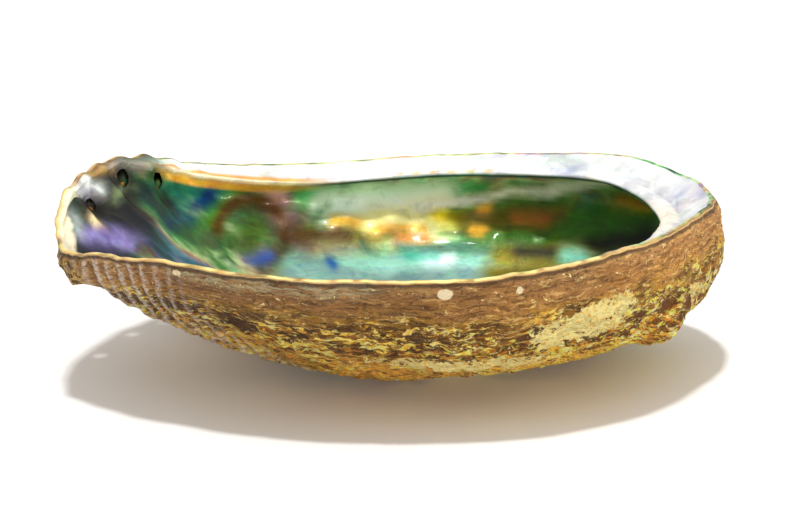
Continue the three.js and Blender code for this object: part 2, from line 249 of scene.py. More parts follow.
for section in np.moveaxis(inside(inner_t), 1, 0)[::-1]:
    rows.append(section)
    kind.append(6)
floor_ring = rows[-1]
for k in range(FLOOR_ROWS - 1, 0, -1):
    rows.append(np.stack([floor_ring[:, 0] * k / FLOOR_ROWS, np.full(COLUMNS, FLOOR_THICKNESS)], 1))
    kind.append(7)

section_grid = np.stack(rows, 1)                  # columns x rows x (distance, height)
kind = np.array(kind)
ROWS = len(kind)
base = np.concatenate([
    PATCH_CENTRE + head[:, None, :] * section_grid[..., :1],
    section_grid[..., 1:],
], -1)                                             # columns x rows x 3
outside_rows = np.where(kind <= 1)[0]
rim_row = outside_rows[-1]

# Distance along the wall from the rim edge, and the wall unrolled flat about the patch centre.
step = np.linalg.norm(np.diff(base, axis=1), axis=2)
run = np.concatenate([np.zeros((COLUMNS, 1)), np.cumsum(step, 1)], 1)
from_rim = np.abs(run - run[:, rim_row:rim_row + 1])
from_pole = section_grid[:, 0, 0][:, None] + run
inner_radius = run[:, -1:] + section_grid[:, -1:, 0] - run
flat_radius = np.where(np.arange(ROWS)[None] <= rim_row, from_pole, inner_radius)
flat = head[:, None, :] * flat_radius[..., None]


def normals_of(grid):
    du = np.roll(grid, -1, 0) - np.roll(grid, 1, 0)
    dv = np.empty_like(grid)
    dv[:, 1:-1] = grid[:, 2:] - grid[:, :-2]
    dv[:, 0], dv[:, -1] = grid[:, 1] - grid[:, 0], grid[:, -1] - grid[:, -2]
    n = np.cross(du, dv)
    return n / (np.linalg.norm(n, axis=2, keepdims=True) + 1e-12)


normal = normals_of(base)


# ---------------------------------------------------------------- growth lines
def growth_map(points, edge, centre):
    """Growth of a flattened shell: log of size at each point, and where on the growing edge it began."""
    out = edge - centre
    angle = np.arctan2(out[:, 1], out[:, 0])
    order = np.argsort(angle)
    angle, size = angle[order], np.log(np.linalg.norm(out, axis=1))[order]
    lap = np.concatenate([[0], np.cumsum(np.linalg.norm(np.diff(edge[order], axis=0), axis=1))])
    delta = points - centre
    r = np.log(np.linalg.norm(delta, axis=-1) + 1.0)
    turn = np.arctan2(delta[..., 1], delta[..., 0])

    def edge_size(at):
        return np.interp(at, angle, size, period=2 * math.pi)

    found = np.full(r.shape, -3.2)
    open_still = np.ones(r.shape, bool)
    before = r - edge_size(turn)
    for g in np.arange(-0.02, -3.2, -0.02):
        now = r - g - edge_size(turn - g / SPIRAL_GROWTH)
        hit = open_still & (now >= 0)
        share = np.clip(-before / (now - before + 1e-9), 0, 1)
        found = np.where(hit, g + 0.02 - 0.02 * share, found)
        open_still &= ~hit
        before = now
    found = np.minimum(found, 0)
    origin = np.mod(turn - found / SPIRAL_GROWTH - angle[0], 2 * math.pi) + angle[0]
    return found, np.interp(origin, angle, lap)


def nearest_column(degrees):
    return int(np.argmin(np.abs((direction - degrees + 180) % 360 - 180)))


def nearest_row(column, climb, table, first):
    return first + int(np.argmin(np.abs(table[column] - climb)))


outer_first = int(np.where(kind == 1)[0][0])
inner_last = int(np.where(kind == 6)[0][-1])


def outside_place(degrees, climb):
    column = nearest_column(degrees)
    return column, nearest_row(column, climb, outer_t, outer_first)


def inside_place(degrees, climb):
    column = nearest_column(degrees)
    return column, inner_last - int(np.argmin(np.abs(inner_t[column] - climb)))


spire_place = outside_place(SPIRE_DIRECTION, SPIRE_CLIMB)
spire_point = base[spire_place]
spire_flat = flat[spire_place]

growth, cord = np.zeros((COLUMNS, ROWS)), np.zeros((COLUMNS, ROWS))
g, s = growth_map(flat[:, :rim_row + 1], flat[:, rim_row], spire_flat)
growth[:, :rim_row + 1], cord[:, :rim_row + 1] = g, s
g, s = growth_map(flat[:, rim_row + 1:], flat[:, rim_row + 1], spire_flat * 0.9)
growth[:, rim_row + 1:], cord[:, rim_row + 1:] = g, s
# Log of size, written as millimetres at the far end from the spire, where the shell is 120 mm from it.
growth = -growth * 120

# ---------------------------------------------------------------- relief of the outside
turn = direction[:, None] * np.ones((1, ROWS))
rows_out = kind[None] <= 1
rows_in = kind[None] >= 3
height = base[..., 2]
lift = smooth(height, 0.4, 3.5)
x, y = base[..., 0], base[..., 1]


def between(value, low_in, low_out, high_out, high_in):
    return smooth(value, low_in, low_out) * (1 - smooth(value, high_out, high_in))


left_end = between(turn, 176, 192, 208, 226)
far_side = between(turn, 20, 45, 120, 165)
far_corner = between(turn, 138, 148, 180, 192)

relief = 0.42 * noise(base, 15, 1) + 0.24 * noise(base, 6.5, 2)
bend = 1.1 * noise(base, 9, 3) + 0.5 * noise(base, 4, 4)
lamina = np.mod((growth + bend * 1.5) / 3.4, 1)
lamina_edge = smooth(lamina, 0, 0.12) * (1 - lamina) ** 0.8
lamina_fade = 0.35 + 0.65 * np.exp(-(from_rim / 20) ** 2)
relief += 0.42 * lamina_edge * lamina_fade * (1 - 0.6 * left_end)
fine = np.mod((growth + bend) / 1.15 + 0.4 * noise(base, 5, 5), 1)
relief += 0.10 * smooth(fine, 0, 0.2) * (1 - fine)

rib = 0.5 + 0.5 * np.cos(2 * math.pi * (cord + 1.0 * noise(base, 9, 6) + 0.5 * noise(base, 3.5, 11)) / 3.7)
relief += (0.65 * left_end + 0.25 * far_side) * (rib**2 - 0.35) * (0.7 + 0.6 * noise(base, 5, 14))

lower = smooth(from_rim + 3 * noise(base, 12, 7), 12, 20)
flake_grain = np.stack([cord / 2.6, growth / 1.7, height / 3], -1)
flakes = cloud(flake_grain, 1, 3, 8)
crust = smooth(flakes, 0.12, 0.34) - 0.4 * smooth(-flakes, 0.25, 0.5)
relief += 0.34 * crust * mix(0.35, 1, lower)
ripple = np.sin(2 * math.pi * (from_rim + 1.6 * noise(base, 7, 15) + 0.5 * noise(base, 2.6, 16)) / 2.1)
relief += 0.13 * ripple * (1 - lower)
slab = smooth(cloud(base, (9, 9, 5), 3, 17), 0.05, 0.22)
relief += 0.45 * slab * smooth(from_rim, 9, 14) * smooth(x, -40, -10)
relief += 0.09 * noise(base, 1.3, 9) + 0.14 * noise(base, 2.6, 10)

for degrees, climb, radius, mound in OPEN_HOLES:
    middle = base[outside_place(degrees, climb)]
    d = np.linalg.norm(base - middle, axis=2)
    relief += np.where(rows_out, 1.9 * dome(d, mound), 0)
for degrees, climb, size in SEALED_BUMPS:
    middle = base[outside_place(degrees, climb)]
    d = np.linalg.norm(base - middle, axis=2)
    relief += np.where(rows_out, 0.42 * size * dome(d, size) - 0.8 * dome(d, size * 0.38), 0)
bump_line = np.array([base[outside_place(d, c)] for d, c, _ in SEALED_BUMPS])
keel = np.full((COLUMNS, ROWS), 99.0)
for a, b in zip(bump_line[:-1], bump_line[1:]):
    span_ab = b - a
    t = np.clip(((base - a) @ span_ab) / (span_ab @ span_ab), 0, 1)[..., None]
    keel = np.minimum(keel, np.linalg.norm(base - a - t * span_ab, axis=2))
relief += np.where(rows_out, 0.6 * dome(keel, 5.0), 0)

spire_reach = np.linalg.norm(base - spire_point, axis=2)
spire_turn = np.arctan2(y - spire_point[1], x - spire_point[0])
coil = np.mod(spire_turn / (2 * math.pi) - np.log(spire_reach / 2 + 0.4) / 0.75, 1)
spire = SPIRE_RISE * dome(spire_reach, SPIRE_RADIUS, 1.6)
spire -= 0.9 * np.exp(-(((coil - 0.5) / 0.16) ** 2)) * between(spire_reach, 0.5, 2.2, 6.5, 9.5)
relief += np.where(rows_out, spire, 0)

knob_reach = np.linalg.norm(base - KNOB_CENTRE, axis=2)
knob = dome(knob_reach, 7.5, 1.5)
relief += np.where(rows_out, knob * (3.3 + 1.1 * noise(base, 2.6, 12) + 0.5 * noise(base, 1.2, 13)), 0)
relief *= lift * smooth(from_rim, 0, 2.5) * 0.85 + lift * 0.15
right_side = 1 - smooth(np.abs((turn + 180) % 360 - 180), 15, 45)
relief -= 0.9 * right_side * smooth(from_rim, 1, 7) * smooth(height, 12, 22)

# ---------------------------------------------------------------- relief of the inside
hollow = 0.26 * noise(base, 19, 20) + 0.10 * noise(base, 8, 21) + 0.03 * noise(base, 3, 22)
# Distance from the rim differs from column to column at the middle, so the waves fade out there.
off_middle = smooth(np.linalg.norm(base[..., :2] - PATCH_CENTRE, axis=2), 8, 24)
hollow += 0.16 * off_middle * np.sin(2 * math.pi * (from_rim + 5 * noise(base, 20, 23)) / 15.0)
pale_ridge = np.array([[-56.0, 14.0, 30.0], [-45.0, 13.0, 21.0]])
ridge_way = pale_ridge[1] - pale_ridge[0]
t = np.clip(((base - pale_ridge[0]) @ ridge_way) / (ridge_way @ ridge_way), 0, 1)[..., None]
hollow += 0.35 * np.exp(-(np.linalg.norm(base - pale_ridge[0] - t * ridge_way, axis=2) / 1.3) ** 2)
for degrees, climb, radius, mound in OPEN_HOLES:
    place = inside_place(degrees, climb)
    d = np.linalg.norm(base - base[place], axis=2)
    hollow -= 1.7 * dome(d, 6.2, 2)
for degrees, climb, size in SEALED_BUMPS:
    place = inside_place(degrees, min(climb, 0.79))
    d = np.linalg.norm(base - base[place], axis=2)
    hollow -= 0.24 * size * dome(d, size * 1.35, 2)
scar_middle = np.array([-31.0, 29.0, 23.0])
scar_reach = np.linalg.norm((base - scar_middle) * np.array([1, 1, 1.1]), axis=2) + 0.8 * noise(base, 6, 24)
hollow += 0.45 * np.exp(-((scar_reach - 9.5) / 1.1) ** 2) - 0.35 * (1 - smooth(scar_reach, 6, 9))
inside_fade = smooth(from_rim, 0.5, 4)
hollow *= inside_fade

# Shallow flutes that end in the scallops of the far left margin.
flute = np.cos(2 * math.pi * (along_rim[:, None] + 0.8 * noise(base, 12, 25)) / 8.4)
flute_depth = far_corner * np.exp(-((from_rim / 9) ** 2))

# The broad shelf is folded in two along its length at the right end.
right_end = np.maximum(smooth((turn + 40) % 360, 8, 30) * (1 - smooth((turn + 40) % 360, 66, 88)), 0)
shelf_share = np.zeros((COLUMNS, ROWS))
shelf_rows = np.where(kind == 3)[0]
shelf_share[:, shelf_rows] = np.linspace(0, 1, SHELF_ROWS)[None]
crease = np.exp(-((shelf_share - 0.62) / 0.07) ** 2) * right_end
crease -= 0.5 * np.exp(-((shelf_share - 0.80) / 0.10) ** 2) * right_end
wide = smooth(shelf_width, 2, 7)[:, None]
shelf_relief = -0.9 * crease + (0.25 * noise(base, 7, 26) + 0.12 * noise(base, 3, 27)) * wide

depth = np.where(rows_out, relief, 0)
depth = np.where(kind[None] >= 5, hollow, depth)
depth = np.where((kind[None] == 3) | (kind[None] == 4), shelf_relief, depth)
depth += np.where(kind[None] >= 3, 0.75 * flute * flute_depth * smooth(from_rim, 1.5, 5), 0)
shape = base + normal * depth[..., None]

# ---------------------------------------------------------------- wavy rim
u = along_rim
ring_place = np.stack([rim[:, 0], rim[:, 1], np.zeros(COLUMNS)], 1)
wave_up = 0.30 * noise(ring_place, 8, 30) + 0.22 * noise(ring_place, 3.2, 31)
wave_up = wave_up + 0.10 * noise(ring_place, 1.4, 32)
wave_out = 0.35 * noise(ring_place, 7, 33) + 0.25 * noise(ring_place, 2.8, 34)
wave_up = wave_up + 0.45 * far_corner[:, 0] * np.cos(2 * math.pi * u / 8.4 + 3.0 * noise(ring_place, 22, 35))
wave_up = wave_up * (1 - 0.4 * far_side[:, 0])
near_rim = np.exp(-((from_rim / 7) ** 2)) * smooth(height, 20, 28)
shape[..., 2] += wave_up[:, None] * near_rim
shape[..., :2] += head[:, None, :] * (wave_out[:, None] * np.exp(-((from_rim / 5) ** 2)))[..., None]
shape[..., 2] = np.where(rows_out, np.maximum(shape[..., 2], 0), shape[..., 2])
shape[:, :PATCH_ROWS - 1, 2] = 0

# ---------------------------------------------------------------- open holes
cut = np.zeros((COLUMNS, ROWS - 1), bool)      # quads that are left out
bridges = []
for degrees, climb, radius, _ in OPEN_HOLES:
    loops = []
    outer_mouth = outside_place(degrees, climb)
    above = shape[:, :, :2] - shape[outer_mouth][:2]
    above = np.linalg.norm(above, axis=2) + 1000 * ((kind[None] < 5) | (kind[None] > 6))
    inner_mouth = np.unravel_index(np.argmin(above), above.shape)
    for side, place in (("out", outer_mouth), ("in", inner_mouth)):
        wide_by, tall_by = 5, 4
        c0, r0 = place[0] - wide_by // 2, place[1] - tall_by // 2
        middle = shape[(c0 + wide_by // 2) % COLUMNS, r0 + tall_by // 2].copy()
        if side == "out":
            across = normal[place]
        for ring in range(6):
            around_loop = []
            cl, cr, rl, rr = c0 - ring, c0 + wide_by + ring, r0 - ring, r0 + tall_by + ring
            around_loop += [(c, rl) for c in range(cl, cr)]
            around_loop += [(cr, r) for r in range(rl, rr)]
            around_loop += [(c, rr) for c in range(cr, cl, -1)]
            around_loop += [(cl, r) for r in range(rr, rl, -1)]
            around_loop = [(c % COLUMNS, r) for c, r in around_loop]
            if ring == 0:
                loops.append((around_loop, side))
            pts = np.array([shape[i] for i in around_loop])
            offset = pts - middle
            offset -= (offset @ across)[:, None] * across
            length = np.linalg.norm(offset, axis=1, keepdims=True)
            target = pts + offset / length * (radius + 0.75 * ring - length)
            share = 1 - ring / 6
            for k, i in enumerate(around_loop):
                shape[i] = mix(pts[k], target[k], share)
        for c in range(c0, c0 + wide_by):
            for r in range(r0, r0 + tall_by):
                cut[c % COLUMNS, r] = True
    bridges.append(loops)

# ---------------------------------------------------------------- colours of the nacre
def linear(colour):
    v = np.asarray(colour, float) / 255
    return np.where(v > 0.04045, ((v + 0.055) / 1.055) ** 2.4, v / 12.92)


# Across the bowl: how far right, and how high when looked at from 15 degrees above.
drift_x = 1.3 * noise(base, 9, 40) + 0.7 * noise(base, 4, 41)
drift_v = 0.8 * noise(base, 8, 42) + 0.5 * noise(base, 3.5, 43)
across_x = x + drift_x
across_v = 0.966 * height + 0.259 * y + drift_v


def stroke(start, end, width):
    """Soft brush mark between two places on the view across the bowl."""
    start, end = np.array(start, float), np.array(end, float)
    way = end - start
    t = ((across_x - start[0]) * way[0] + (across_v - start[1]) * way[1]) / max(way @ way, 1e-6)
    t = np.clip(t, 0, 1)
    d2 = (across_x - start[0] - t * way[0]) ** 2 + (across_v - start[1] - t * way[1]) ** 2
    return np.exp(-d2 / width**2)


# Rainbow for the parts that show no mark of their own.
swirl = np.stack([flat[..., 0] / 26, flat[..., 1] / 17, height / 60], -1)
swirl = swirl + 0.35 * noise(base, 16, 44)[..., None]
sheen = 0.5 + 0.56 * (noise(swirl, 1, 45) + 0.45 * noise(swirl * 2.3, 1, 46))
sheen += 0.16 * noise(swirl * 5.1, 1, 55) + 0.11 * noise(swirl * np.array([7.0, 15.0, 9.0]), 1, 56)
SHEEN_COLOURS = [
    (0.00, (28, 62, 58)), (0.16, (52, 104, 84)), (0.30, (96, 150, 98)), (0.42, (186, 220, 178)),
    (0.54, (222, 214, 176)), (0.64, (176, 138, 122)), (0.76, (150, 150, 186)),
    (0.88, (66, 116, 150)), (1.00, (34, 70, 84)),
]
stops = np.array([p for p, _ in SHEEN_COLOURS])
stop_tones = linear([c for _, c in SHEEN_COLOURS])
tint = np.stack([np.interp(sheen, stops, stop_tones[:, k]) for k in range(3)], -1)

# (start, end, width, colour, strength), painted in this order on the far side of the bowl. Most are nacre
# colour; a few are painted reflection or painted shadow, as marked.
BOWL_STROKES = [
    ((-60, 20), (62, 22), 9.0, (66, 96, 44), 0.85),
    ((-56, 27), (-46, 24), 8.0, (52, 60, 40), 0.92),
    ((-58, 34), (-54, 26), 4.0, (60, 70, 56), 0.8),
    ((-50, 40), (-38, 41), 2.0, (44, 104, 84), 0.9),
    ((-43, 39), (-51, 32), 2.2, (18, 50, 104), 0.95),
    ((-37, 38), (-48, 29), 2.0, (66, 132, 60), 0.9),
    ((-44, 30), (-40, 24), 2.4, (126, 140, 90), 0.7),
    ((-55, 32), (-45, 24), 0.8, (160, 168, 146), 0.6),
    ((-33, 30), (-33, 28), 5.5, (72, 92, 40), 0.95),
    ((-29, 40), (-27, 38), 3.0, (206, 160, 158), 0.9),
    ((-25, 35), (-21, 26), 4.0, (134, 116, 122), 0.85),
    ((-20, 34), (-17, 30), 1.6, (176, 160, 140), 0.6),
    ((-20, 39), (22, 41), 2.6, (78, 160, 100), 0.9),
    # Mint to near-white: the nacre's mint colour, brightened with painted reflection of the light on the
    # glossy wall under the shelf.
    ((-16, 36), (-6, 39), 2.8, (222, 250, 214), 0.95),
    ((-14, 36.8), (12, 38.8), 3.6, (236, 255, 240), 1.0),
    ((4, 36), (12, 38), 2.8, (255, 255, 236), 0.95),
    ((-14, 37), (-20, 31), 1.2, (92, 146, 84), 0.6),
    ((-22, 30), (-5, 29), 3.8, (78, 56, 18), 0.98),
    ((-12, 33), (-1, 33), 1.6, (234, 178, 82), 0.85),
    ((-3, 33.2), (13, 34.4), 3.0, (254, 244, 186), 1.0),
    ((-2, 31), (8, 31.5), 1.3, (214, 150, 60), 0.8),
    ((12, 35), (17, 34.5), 2.4, (250, 218, 80), 0.95),
    ((-18, 25), (-10, 24), 2.0, (170, 120, 60), 0.7),
    ((-6, 29), (4, 29), 1.8, (120, 118, 44), 0.8),
    ((4, 28.5), (8, 28.5), 1.6, (206, 140, 70), 0.85),
    ((-5.5, 28), (-4.5, 26), 1.2, (30, 56, 40), 0.8),
    ((4, 26.3), (30, 27), 2.0, (24, 74, 58), 0.95),
    ((16, 36), (53, 42), 2.4, (52, 112, 40), 0.85),
    ((30, 34), (60, 34), 7.0, (46, 96, 18), 0.95),
    ((22, 30), (58, 31), 4.0, (52, 96, 22), 0.9),
    ((18, 33), (40, 35), 2.6, (104, 88, 36), 0.85),
    ((30, 34), (37, 34), 1.5, (150, 100, 60), 0.8),
    ((22, 36), (23.5, 36), 1.2, (238, 176, 100), 0.9),
    ((21, 31), (22.5, 31), 1.2, (240, 180, 104), 0.9),
    ((6, 36.4), (50, 42), 1.0, (255, 250, 232), 0.97),
    ((34, 40), (52, 42.2), 1.2, (255, 252, 242), 0.97),
    ((54, 38), (60, 37), 1.8, (176, 124, 66), 0.75),
    # Painted shadow of the overhanging shelf, at the right below its edge.
    ((49, 27), (60, 30), 3.4, (10, 18, 4), 0.97),
    # Low band: the nacre's blue-green with painted reflection of the overhead light on the bowl floor, and a
    # painted highlight blob.
    ((-24, 23), (26, 22.5), 2.8, (136, 182, 172), 0.95),
    ((-22, 19.5), (30, 18.5), 4.0, (134, 164, 164), 0.95),
    ((8, 23.6), (14, 23.4), 1.5, (226, 240, 240), 0.9),
    ((4, 24.5), (10, 24), 1.3, (64, 146, 136), 0.8),
    ((-14.5, 23.5), (-13.5, 22.5), 1.3, (38, 84, 150), 0.9),
    ((27, 24.5), (46, 24), 2.8, (126, 116, 4), 1.0),
    ((24, 21), (44, 20.5), 2.2, (116, 104, 8), 0.95),
    ((31.5, 25.6), (38, 25.4), 2.1, (34, 30, 2), 0.97),
    ((42, 24.5), (46, 24), 2.0, (136, 196, 186), 0.85),
    ]
faces_front = smooth(-normal[..., 1], 0.05, 0.45) * smooth(y, -8, 6)
for start, end, width, colour, strength in BOWL_STROKES:
    amount = (stroke(start, end, width) * strength * faces_front)[..., None]
    tint = mix(tint, linear(colour), amount)

# Muscle scar: a brown ring with green inside and blue below.
ring_distance = np.hypot((across_x + 33.5) / 1.0, (across_v - 30.0) / 1.02)
ring_band = np.exp(-(((ring_distance - 7.6) / 2.1) ** 2)) * faces_front
tint = mix(tint, linear((78, 50, 14)), (0.97 * ring_band * smooth(across_v, 22, 30))[..., None])
ring_low_right = (1 - smooth(across_v, 24, 31)) * smooth(across_x, -34, -27)
tint = mix(tint, linear((46, 30, 12)), (0.8 * ring_band * ring_low_right)[..., None])
tint = mix(tint, linear((76, 96, 170)), (0.9 * stroke((-33, 23.5), (-30, 24), 1.8) * faces_front)[..., None])
tint = mix(tint, linear((12, 18, 24)), (0.9 * stroke((-34, 21), (-31, 21.5), 1.4) * faces_front)[..., None])

# The bowl is deeper in colour than its marks.
grey = tint.mean(-1, keepdims=True)
tint = np.clip(grey + (tint - grey) * 1.28, 0.002, 1) ** 1.08

# Painted shade darkens the pocketed corner behind the open holes. Its strokes add more painted shade in the
# pockets, painted highlights on the facets of its ridges, and lavender, gold and grey nacre colour.
corner_shade = smooth(-x - 3.0 * noise(base, 6, 54), 50, 60) * between(turn, 140, 152, 206, 222)
tint = mix(tint, linear((12, 15, 20)), (corner_shade * 0.97)[..., None])
CORNER_SHADE_AND_HIGHLIGHT_STROKES = [
    ((-58.8, 40), (-58.0, 33.5), 4.5, (16, 20, 26), 0.97),
    ((-62.2, 39.4), (-59.4, 40.6), 1.2, (126, 142, 108), 0.75),
    ((-55.6, 43), (-54.6, 34.5), 1.2, (5, 6, 7), 0.97),
    ((-68.2, 42.2), (-66.2, 40.2), 1.5, (232, 238, 248), 0.97),
    ((-73.4, 41.2), (-69.6, 40), 0.9, (224, 232, 244), 0.95),
    ((-67.8, 37.8), (-65.4, 36.2), 1.7, (12, 14, 22), 0.97),
    ((-73.8, 39), (-70, 38.2), 1.1, (10, 14, 22), 0.95),
    ((-72.8, 36.8), (-68.4, 30.4), 1.2, (156, 168, 174), 0.85),
    ((-66, 34.2), (-65, 32.6), 1.2, (244, 214, 164), 0.92),
    ((-66.4, 30.4), (-58.4, 28.6), 2.0, (142, 130, 204), 0.92),
    ((-63.6, 31), (-62.8, 27), 0.5, (66, 62, 104), 0.6),
    ((-69, 43.6), (-64, 45.2), 1.2, (172, 140, 82), 0.85),
    ((-64, 45.6), (-60.4, 46), 1.2, (152, 144, 142), 0.8),
    ((-62.8, 43.6), (-61.8, 42.4), 0.9, (26, 24, 26), 0.85),
    ((-57.5, 43.6), (-56, 44.4), 1.2, (44, 38, 30), 0.8),
]
corner_shade_here = corner_shade * (kind[None] >= 3)
for start, end, width, colour, strength in CORNER_SHADE_AND_HIGHLIGHT_STROKES:
    tint = mix(tint, linear(colour), (stroke(start, end, width) * strength * corner_shade_here)[..., None])

# Pale shelf: bluish white with hints of pink and green, creamy at the left and lower right.
shelf_on = np.where(kind == 3, 1.0, 0.0)[None] * np.ones((COLUMNS, 1))
shelf_on[:, kind == 4] = 1.0
pale = mix(linear((228, 232, 238)), linear((196, 198, 226)), smooth(noise(base, 9, 48), -0.1, 0.6)[..., None])
pale = mix(pale, linear((222, 240, 228)), (0.6 * smooth(noise(base, 7, 49), 0.1, 0.7))[..., None])
pale = mix(pale, linear((240, 224, 214)), (0.5 * smooth(noise(base, 6, 50), 0.2, 0.8))[..., None])
lower_right = right_end * smooth(shelf_share, 0.60, 0.66) * smooth(-y, -22, -12)
pale = mix(pale, linear((252, 240, 224)), lower_right[..., None])
gold_edge = smooth(shelf_share, 0.62, 0.9) * between(turn, 108, 126, 150, 158)
pale = mix(pale, linear((226, 154, 40)), (0.9 * gold_edge)[..., None])
left_lip = between(turn, 174, 184, 206, 222)
pale = mix(pale, linear((236, 220, 184)), left_lip[..., None])
tint = mix(tint, pale, shelf_on[..., None] * (1 - corner_shade[..., None] * (1 - left_lip[..., None])))
past_shelf = from_rim - shelf_width[:, None] - 1.2
band_here = between(turn, 112, 130, 149, 155) * (kind[None] >= 4)
tint = mix(tint, linear((232, 158, 46)), (band_here * (1 - smooth(past_shelf, 3.6, 4.8)))[..., None])
tint = mix(tint, linear((255, 246, 214)), (band_here * (1 - smooth(past_shelf, 1.2, 2.8)))[..., None])
# Down the shelf edge the colour turns dark green, painted shade under the overhang; at the far side its upper
# rows turn gold instead and only the lowest row is dark.
edge_rows = np.where(kind == 4)[0]
edge_shade_down = np.zeros((COLUMNS, ROWS))
edge_shade_down[:, edge_rows] = [[0.35, 0.9, 1.0]]
gold_here = between(turn, 108, 126, 150, 158)
edge_gold_and_shade = mix(linear((22, 66, 46)), linear((214, 140, 40)), (gold_here * (edge_shade_down < 0.99))[..., None])
tint = mix(tint, edge_gold_and_shade, (edge_shade_down * (1 - corner_shade) * (1 - band_here))[..., None])
# Orange nacre colour between pale beads along the lower edge of the pale band; the pale beads left between
# stand for painted highlights on the sealed holes.
beads = 0.5 - 0.5 * np.cos(2 * math.pi * (x + 1.2 * noise(base, 9, 52)) / 4.4)
bead_here = between(x, 0, 4, 23, 27) * smooth(y, 30, 40) * smooth(shelf_share, 0.78, 0.95)
tint = mix(tint, linear((236, 170, 84)), (0.85 * bead_here * beads * (edge_shade_down < 0.5))[..., None])
# Painted shadow: dark teal on the wall just under the shelf, where the shelf overhangs it.
just_under = smooth(-from_rim, -6 - shelf_width[:, None], -1 - shelf_width[:, None])
under = (kind[None] == 5) * just_under * (1 - corner_shade)
tint = mix(tint, linear((18, 58, 46)), (0.85 * under * smooth(shelf_width, 2, 6)[:, None])[..., None])
# Painted shade along the fold of the shelf at the right end.
crease_shade = np.exp(-((shelf_share - 0.63) / 0.035) ** 2) * right_end * shelf_on
tint = mix(tint, linear((120, 118, 116)), (0.5 * crease_shade)[..., None])
lip_width = 1.6 + 5.0 * between(turn, 178, 191, 200, 214)
lip_band = (1 - smooth(from_rim, lip_width - 0.3, lip_width + 0.5)) * left_lip
tint = mix(tint, linear((250, 236, 206)), lip_band[..., None])
rim_patches = smooth(noise(ring_place, 2.4, 53), -0.1, 0.6)[:, None, None]
rim_tone = mix(linear((236, 196, 126)), linear((150, 112, 66)), rim_patches)
right_rim = 1 - smooth(np.abs((direction + 180) % 360 - 180), 34, 52)
rim_tone = mix(rim_tone, linear((120, 94, 66)), (0.8 * right_rim)[:, None, None])
tint = mix(tint, rim_tone, np.exp(-((from_rim / (1.15 - 0.5 * right_rim[:, None])) ** 4))[..., None] * 0.9)
# Painted shade: near-black round the inner mouths of the open holes, in their pits.
for degrees, climb, radius, _ in OPEN_HOLES:
    d = np.linalg.norm(base - base[inside_place(degrees, climb)], axis=2)
    tint = mix(tint, linear((20, 20, 22)), (0.8 * np.exp(-((d / (radius + 1.4)) ** 4)) * rows_in)[..., None])


# ---------------------------------------------------------------- mesh
place = (shape - MIDDLE) / 1000
count = COLUMNS * ROWS
points = list(place.reshape(-1, 3))
parent = list(range(count))                     # which grid point's values each vertex takes
faces, face_kind = [], []


def index(c, r):
    return (c % COLUMNS) * ROWS + r


foot_pole, floor_pole = count, count + 1
pole_place = PATCH_CENTRE - MIDDLE[:2]
points += [np.append(pole_place, 0) / 1000, np.append(pole_place, FLOOR_THICKNESS) / 1000]
parent += [index(0, 0), index(0, ROWS - 1)]
for c in range(COLUMNS):
    faces.append((foot_pole, index(c + 1, 0), index(c, 0)))
    face_kind.append(0)
    for r in range(ROWS - 1):
        if cut[c, r]:
            continue
        faces.append((index(c, r), index(c + 1, r), index(c + 1, r + 1), index(c, r + 1)))
        face_kind.append(0 if r < rim_row else 1)
    faces.append((index(c, ROWS - 1), index(c + 1, ROWS - 1), floor_pole))
    face_kind.append(1)
for outer_loop, inner_loop in bridges:
    # Both loops run the same way round in the grid; seen from one side the inner one runs backwards.
    first = [index(*i) for i in outer_loop[0]]
    second = [index(*i) for i in inner_loop[0]]
    second = second[::-1]
    start = np.array([points[i] for i in first])
    stop = np.array([points[i] for i in second])
    shift = min(range(len(second)), key=lambda k: np.linalg.norm(np.roll(stop, -k, 0) - start, axis=1).sum())
    second = second[shift:] + second[:shift]
    middle_ring = []
    for a, b in zip(first, second):
        middle_ring.append(len(points))
        points.append((points[a] + points[b]) / 2)
        parent.append(a)
    centre = np.mean([points[i] for i in middle_ring], 0)
    for i in middle_ring:
        points[i] = centre + (points[i] - centre) * 0.88
    size = len(first)
    for k in range(size):
        n = (k + 1) % size
        faces.append((first[k], middle_ring[k], middle_ring[n], first[n]))
        faces.append((middle_ring[k], second[k], second[n], middle_ring[n]))
        face_kind += [0, 1]

mesh = bpy.data.meshes.new("shell_visual")
mesh.from_pydata([tuple(p) for p in points], [], faces)
mesh.update()
mesh.shade_smooth()
mesh.polygons.foreach_set("material_index", np.array(face_kind, np.int32))


def attribute(name, values):
    """A number on every vertex, from a grid of columns and rows."""
    data = mesh.attributes.new(name, "FLOAT", "POINT").data
    spread = (values * np.ones((COLUMNS, ROWS))).reshape(-1)[parent]
    data.foreach_set("value", np.ascontiguousarray(spread, np.float32))


attribute("down", from_rim)
attribute("shelf", shelf_on)
attribute("knob", knob * rows_out)
attribute("ridge", left_end * smooth(rib, 0.45, 0.95))
cream = 0.95 * np.exp(-(((x - 41) / 12) ** 4)) * np.exp(-(((from_rim - 15 + (x - 41) * 0.22) / 5.0) ** 4))
cream += 0.8 * np.exp(-(((x - 16) / 22) ** 4)) * np.exp(-(((from_rim - 27) / 4.0) ** 4))
right_patch = 0.75 * smooth(x, 62, 69) * smooth(from_rim, 10, 16)
cream += right_patch + 0.5 * np.exp(-(((x - 12) / 8) ** 2)) * np.exp(-(((from_rim - 15) / 3.0) ** 2))
cream *= smooth(-y, 0, 15)
lichen = (1 - smooth(from_rim, 1.5, 5.0)) * between(x, -52, -40, -8, 2) * smooth(-y, 20, 30)
attribute("cream", cream)
attribute("paler_ends", np.clip(0.28 * smooth(x, 4, 26) + 0.62 * smooth(x, 38, 64) + 0.34 * left_end, 0, 1))
attribute("lichen", lichen)

colours = mesh.attributes.new("tint", "FLOAT_COLOR", "POINT").data
rgba = np.concatenate([tint, np.ones((COLUMNS, ROWS, 1))], -1).reshape(-1, 4)[parent]
colours.foreach_set("color", np.ascontiguousarray(rgba.reshape(-1), np.float32))

